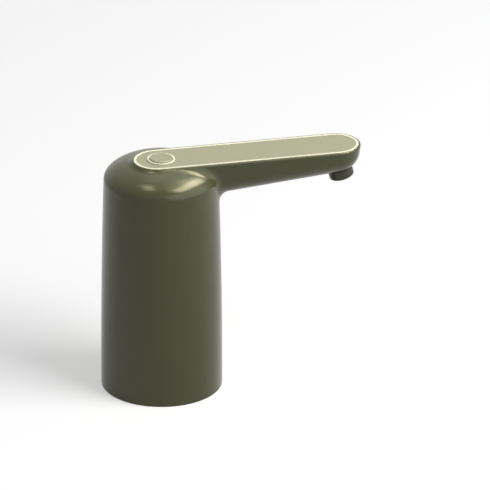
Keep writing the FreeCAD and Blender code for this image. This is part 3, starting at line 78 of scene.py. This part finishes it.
class Finish:
    """One material: a Principled shader, and short ways to add the patterns that drive it."""

    def __init__(self, name, colour, roughness, metallic=0.0, specular=0.5, tint=PLAIN_TINT):
        self.material = bpy.data.materials.new(name)
        self.material.use_nodes = True
        self.nodes = self.material.node_tree.nodes
        self.links = self.material.node_tree.links
        self.shader = self.nodes["Principled BSDF"]
        self.colour = colour
        self.roughness = roughness
        self.bumps = None
        for socket, value in (("Base Color", (*colour, 1)), ("Roughness", roughness), ("Metallic", metallic),
                              ("Specular IOR Level", specular), ("Specular Tint", tint)):
            self.shader.inputs[socket].default_value = value
        self.place = self.nodes.new("ShaderNodeTexCoord").outputs["Object"]

    def noise(self, size_mm, detail=2.0, roughness=0.5, stretch=NO_STRETCH):
        """Noise on the piece's own coordinates, with lumps size_mm wide, longer where stretch is small."""
        mapping = self.nodes.new("ShaderNodeMapping")
        mapping.inputs["Scale"].default_value = stretch
        self.links.new(self.place, mapping.inputs["Vector"])
        node = self.nodes.new("ShaderNodeTexNoise")
        node.inputs["Scale"].default_value = 1 / (size_mm * MM)
        node.inputs["Detail"].default_value = detail
        node.inputs["Roughness"].default_value = roughness
        self.links.new(mapping.outputs["Vector"], node.inputs["Vector"])
        return node.outputs["Fac"]

    def ranged(self, noise, low, high):
        """The noise's usual span, carried onto low to high in a straight line."""
        node = self.nodes.new("ShaderNodeMapRange")
        self.links.new(noise, node.inputs["Value"])
        for socket, number in (("From Min", NOISE_LOW), ("From Max", NOISE_HIGH),
                               ("To Min", low), ("To Max", high)):
            node.inputs[socket].default_value = number
        return node.outputs["Result"]

    def mottled(self, noise, spread):
        """The base colour drifts with the noise, from (1 - spread) to (1 + spread) times itself."""
        node = self.nodes.new("ShaderNodeMix")
        node.data_type = "RGBA"
        first, second = (socket for socket in node.inputs if socket.type == "RGBA")
        first.default_value = [channel * (1 - spread) for channel in self.colour] + [1]
        second.default_value = [min(channel * (1 + spread), 1) for channel in self.colour] + [1]
        self.links.new(self.ranged(noise, 0, 1), node.inputs["Factor"])
        mixed = next(socket for socket in node.outputs if socket.type == "RGBA")
        self.links.new(mixed, self.shader.inputs["Base Color"])

    def uneven_gloss(self, noise, spread):
        """The roughness drifts with the noise, from roughness - spread to roughness + spread."""
        drift = self.ranged(noise, self.roughness - spread, self.roughness + spread)
        self.links.new(drift, self.shader.inputs["Roughness"])

    def grained(self, noise, depth_mm, strength):
        """Bumps of strength x depth, high where the noise is; a second call adds its bumps to the first's."""
        node = self.nodes.new("ShaderNodeBump")
        node.inputs["Strength"].default_value = strength
        node.inputs["Distance"].default_value = depth_mm * MM
        self.links.new(noise, node.inputs["Height"])
        if self.bumps is not None:
            self.links.new(self.bumps, node.inputs["Normal"])
        self.bumps = node.outputs["Normal"]
        self.links.new(self.bumps, self.shader.inputs["Normal"])

    def put_on(self, *names):
        """The CAD nodes of these names get the material."""
        for name in names:
            mesh = nodes[name].data
            mesh.materials.clear()
            mesh.materials.append(self.material)


def olive_moulding():
    """Satin olive plastic: a slow drift of tone and gloss, faint sink marks and a fine eroded grain."""
    finish = Finish("satin_olive_moulding", OLIVE, roughness=0.22, specular=0.46, tint=WARM_TINT)
    finish.mottled(finish.noise(size_mm=22, detail=3), spread=0.06)
    finish.uneven_gloss(finish.noise(size_mm=14, detail=4, roughness=0.6), spread=0.02)
    finish.grained(finish.noise(size_mm=3.5, detail=1), depth_mm=0.004, strength=0.25)
    finish.grained(finish.noise(size_mm=0.16), depth_mm=0.006, strength=0.35)
    finish.put_on("main_housing")


def olive_flap_rubber():
    """Matt olive rubber: duller than the housing, with a fine grain."""
    finish = Finish("olive_rubber_flap", DULL_OLIVE, roughness=0.5, tint=WARM_TINT)
    finish.mottled(finish.noise(size_mm=6, detail=3), spread=0.08)
    finish.uneven_gloss(finish.noise(size_mm=4, detail=3), spread=0.05)
    finish.grained(finish.noise(size_mm=0.2), depth_mm=0.01, strength=0.4)
    finish.put_on("port_cover")


def khaki_metal():
    """Khaki metal, blasted and anodised: fine grains that catch the light one by one."""
    finish = Finish("blasted_khaki_metal", KHAKI, roughness=0.38, metallic=0.36)
    finish.mottled(finish.noise(size_mm=0.55), spread=0.12)
    finish.uneven_gloss(finish.noise(size_mm=9, detail=4), spread=0.03)
    finish.grained(finish.noise(size_mm=0.12), depth_mm=0.006, strength=0.5)
    finish.put_on("top_panel", "button_cap")


def pale_satin():
    """Pale cream trim with a satin face and a faint grain."""
    finish = Finish("pale_satin_trim", CREAM, roughness=0.3)
    finish.mottled(finish.noise(size_mm=5, detail=3), spread=0.03)
    finish.uneven_gloss(finish.noise(size_mm=3, detail=3), spread=0.03)
    finish.grained(finish.noise(size_mm=0.3), depth_mm=0.004, strength=0.3)
    finish.put_on("panel_trim", "button_ring")


def dark_nozzle_plastic():
    """Nearly black olive plastic of the nozzle, with a fine grain."""
    finish = Finish("dark_nozzle_moulding", BLACK_OLIVE, roughness=0.4, tint=WARM_TINT)
    finish.mottled(finish.noise(size_mm=4, detail=3), spread=0.08)
    finish.uneven_gloss(finish.noise(size_mm=3, detail=3), spread=0.04)
    finish.grained(finish.noise(size_mm=0.18), depth_mm=0.008, strength=0.4)
    finish.put_on("nozzle")


def moulded(name, colour, roughness, names, grain_mm=0.3, depth_mm=0.008):
    """A moulded or dipped piece: drifting tone, uneven gloss and a fine round grain."""
    finish = Finish(name, colour, roughness)
    finish.mottled(finish.noise(size_mm=4, detail=3), spread=0.07)
    finish.uneven_gloss(finish.noise(size_mm=6, detail=3), spread=0.04)
    finish.grained(finish.noise(size_mm=grain_mm), depth_mm=depth_mm, strength=0.5)
    finish.put_on(*names)


def worked_metal(name, colour, roughness, names, marks=NO_STRETCH, metallic=1.0):
    """A turned, drawn or pressed metal piece: fine tool marks over a slow drift of tone."""
    finish = Finish(name, colour, roughness, metallic=metallic)
    tool_marks = finish.noise(size_mm=0.12, detail=3, stretch=marks)
    finish.mottled(finish.noise(size_mm=3, detail=3), spread=0.06)
    finish.uneven_gloss(tool_marks, spread=0.05)
    finish.grained(tool_marks, depth_mm=0.003, strength=0.4)
    finish.put_on(*names)


def inner_finishes():
    """Finishes of the pieces under the housing, and of those seen from below: colour, roughness, pieces."""
    screws = [name for name in nodes if name.endswith("_screws")]
    moulded("grey_silicone", (0.07, 0.072, 0.06), 0.6, ["neck_liner"])
    moulded("dark_plastic", (0.035, 0.036, 0.027), 0.5, ["base_plate"])
    moulded("black_rubber", (0.012, 0.012, 0.012), 0.6,
            ["panel_gasket", "nozzle_seal", "inlet_seal", "shaft_seal", "pump_gasket"])
    moulded("clear_silicone", (0.55, 0.56, 0.52), 0.45, ["button_dome", "outlet_hose"])
    moulded("frame_plastic", (0.52, 0.50, 0.45), 0.5, ["switch_bracket", "chassis", "battery_holder"])
    moulded("pump_plastic", (0.013, 0.013, 0.014), 0.42,
            ["spout_elbow", "pump_body", "pump_cover", "motor_end_cap"])
    moulded("gear_plastic", (0.80, 0.78, 0.70), 0.35, ["drive_gear", "driven_gear", "switch_plunger"])
    moulded("cell_wrap", (0.02, 0.09, 0.22), 0.3, ["battery_cell"], grain_mm=0.8, depth_mm=0.004)
    moulded("circuit_lacquer", (0.01, 0.06, 0.025), 0.35, ["main_board", "button_board"], grain_mm=0.6)
    moulded("switch_black", (0.01, 0.01, 0.01), 0.4, ["button_switch"])
    moulded("magnet_ferrite", (0.03, 0.03, 0.032), 0.6, ["motor_magnets"], grain_mm=0.15)
    moulded("lead_red", (0.35, 0.012, 0.01), 0.4, ["motor_leads"])
    moulded("lead_black", (0.012, 0.012, 0.012), 0.4, ["cell_leads"])
    moulded("lead_white", (0.70, 0.70, 0.67), 0.4, ["button_lead"])
    worked_metal("nickel", (0.62, 0.59, 0.54), 0.3, ["cell_tabs", "charge_socket"])
    worked_metal("ground_steel", (0.55, 0.55, 0.56), 0.25,
                 ["cover_pin", "motor_shaft", "idler_pin", "hose_clips"], marks=TURNED_ROUND)
    worked_metal("zinc_steel", (0.60, 0.61, 0.62), 0.35, ["motor_can"], marks=DRAWN_ALONG_Z)
    worked_metal("iron_core", (0.14, 0.14, 0.145), 0.45, ["motor_armature"], marks=TURNED_ROUND)
    worked_metal("copper", (0.72, 0.33, 0.18), 0.3, ["motor_windings", "motor_commutator"])
    worked_metal("bronze", (0.50, 0.33, 0.15), 0.4, ["motor_bushes"], marks=TURNED_ROUND)
    worked_metal("graphite", (0.06, 0.055, 0.05), 0.5, ["motor_brushes"], metallic=0.5)
    worked_metal("screw_steel", (0.50, 0.50, 0.51), 0.3, screws)


# Studio: distances are in metres, the light's levels are multiples of white.

FLOOR_HALF_SIDE = 4.0
FLOOR_COLOUR = (0.80, 0.81, 0.80, 1)
FLOOR_GLOW = 0.46
WORLD_LIGHT = 0.20
WHITE_SEEN = 1.0
WHITE_LIGHT = (1, 1, 1)
WARM_LIGHT = (1, 0.95, 0.76)
LAMP_AIM = Vector((0.03, 0, 0.08))

# Azimuth, elevation and roll are in degrees
TABLE_LAMPS = (
    dict(name="table_softbox", azimuth=-37, elevation=36, roll=0, distance=2.0,
         width=1.50, height=1.50, radiance=5.7, colour=WHITE_LIGHT),
)
TAP_LAMPS = (
    dict(name="key_softbox", azimuth=5, elevation=60, roll=-36, distance=1.6,
         width=1.45, height=0.48, radiance=11.6, colour=WARM_LIGHT),
    dict(name="key_fill", azimuth=32, elevation=58, roll=0, distance=1.6,
         width=0.50, height=0.50, radiance=5, colour=WARM_LIGHT),
    dict(name="top_softbox", azimuth=0, elevation=72, roll=0, distance=1.6,
         width=0.80, height=0.80, radiance=1.4, colour=WARM_LIGHT),
    dict(name="side_softbox", azimuth=-44, elevation=28, roll=0, distance=1.1,
         width=1.80, height=1.10, radiance=1.45, colour=WHITE_LIGHT),
    dict(name="rear_softbox", azimuth=66, elevation=58, roll=0, distance=2.0,
         width=1.20, height=1.00, radiance=0.8, colour=WHITE_LIGHT),
    dict(name="back_softbox", azimuth=160, elevation=76, roll=0, distance=1.6,
         width=0.50, height=0.26, radiance=7, colour=WARM_LIGHT),
)


def seen_directly(tree):
    """1 for a camera, glossy or transmission ray and 0 for any other: the largest of the three flags."""
    rays = tree.nodes.new("ShaderNodeLightPath")
    seen = rays.outputs["Is Camera Ray"]
    for name in ("Is Glossy Ray", "Is Transmission Ray"):
        either = tree.nodes.new("ShaderNodeMath")
        either.operation = "MAXIMUM"
        tree.links.new(seen, either.inputs[0])
        tree.links.new(rays.outputs[name], either.inputs[1])
        seen = either.outputs["Value"]
    return seen


def floor_material():
    """Pale and diffuse, with a glow of its own where it is seen directly, so that it reads as white."""
    material = bpy.data.materials.new("floor_white")
    material.use_nodes = True
    tree = material.node_tree
    tree.nodes.clear()
    diffuse = tree.nodes.new("ShaderNodeBsdfDiffuse")
    diffuse.inputs["Color"].default_value = FLOOR_COLOUR
    glow = tree.nodes.new("ShaderNodeEmission")
    level = tree.nodes.new("ShaderNodeMath")
    level.operation = "MULTIPLY"
    level.inputs[1].default_value = FLOOR_GLOW
    tree.links.new(seen_directly(tree), level.inputs[0])
    tree.links.new(level.outputs["Value"], glow.inputs["Strength"])
    both = tree.nodes.new("ShaderNodeAddShader")
    tree.links.new(diffuse.outputs["BSDF"], both.inputs[0])
    tree.links.new(glow.outputs["Emission"], both.inputs[1])
    output = tree.nodes.new("ShaderNodeOutputMaterial")
    tree.links.new(both.outputs["Shader"], output.inputs["Surface"])
    return material


def make_floor():
    """A level square under the foot."""
    half = FLOOR_HALF_SIDE
    mesh = bpy.data.meshes.new("floor")
    corners = [(-half, -half, 0), (half, -half, 0), (half, half, 0), (-half, half, 0)]
    mesh.from_pydata(corners, [], [(0, 1, 2, 3)])
    mesh.materials.append(floor_material())
    floor = bpy.data.objects.new("floor", mesh)
    bpy.context.scene.collection.objects.link(floor)
    return floor


def make_world():
    """White where it is seen directly, and a softer level for the light that it gives."""
    world = bpy.data.worlds.new("studio")
    bpy.context.scene.world = world
    world.use_nodes = True
    tree = world.node_tree
    background = tree.nodes["Background"]
    background.inputs["Color"].default_value = (1, 1, 1, 1)
    level = tree.nodes.new("ShaderNodeMapRange")
    level.inputs["To Min"].default_value = WORLD_LIGHT
    level.inputs["To Max"].default_value = WHITE_SEEN
    tree.links.new(seen_directly(tree), level.inputs["Value"])
    tree.links.new(level.outputs["Result"], background.inputs["Strength"])


def make_softbox(name, azimuth, elevation, roll, distance, width, height, radiance, colour):
    """A rectangular lamp that faces the tap, rolled about its own axis; its power is radiance x area x pi."""
    data = bpy.data.lights.new(name, "AREA")
    data.shape = "RECTANGLE"
    data.size = width
    data.size_y = height
    data.energy = radiance * width * height * math.pi
    data.color = colour
    lamp = bpy.data.objects.new(name, data)
    bpy.context.scene.collection.objects.link(lamp)
    turn = math.radians(azimuth)
    tilt = math.radians(elevation)
    way = Vector((math.cos(tilt) * math.cos(turn), math.cos(tilt) * math.sin(turn), math.sin(tilt)))
    facing = way.to_track_quat("Z", "Y").to_matrix().to_4x4()
    rolled = facing @ Matrix.Rotation(math.radians(roll), 4, "Z")
    lamp.matrix_world = Matrix.Translation(LAMP_AIM + way * distance) @ rolled
    lamp.visible_camera = False
    return lamp


def make_lamps(floor):
    """One set of lamps lights the floor alone, and the other lights all but the floor."""
    for name, state, lamps in (("floor_alone", "INCLUDE", TABLE_LAMPS),
                               ("all_but_floor", "EXCLUDE", TAP_LAMPS)):
        receivers = bpy.data.collections.new(name)
        receivers.objects.link(floor)
        receivers.collection_objects[0].light_linking.link_state = state
        for settings in lamps:
            make_softbox(**settings).light_linking.receiver_collection = receivers


bpy.context.scene.view_settings.view_transform = "Standard"
make_camera()
make_world()
make_lamps(make_floor())
olive_moulding()
olive_flap_rubber()
khaki_metal()
pale_satin()
dark_nozzle_plastic()
inner_finishes()
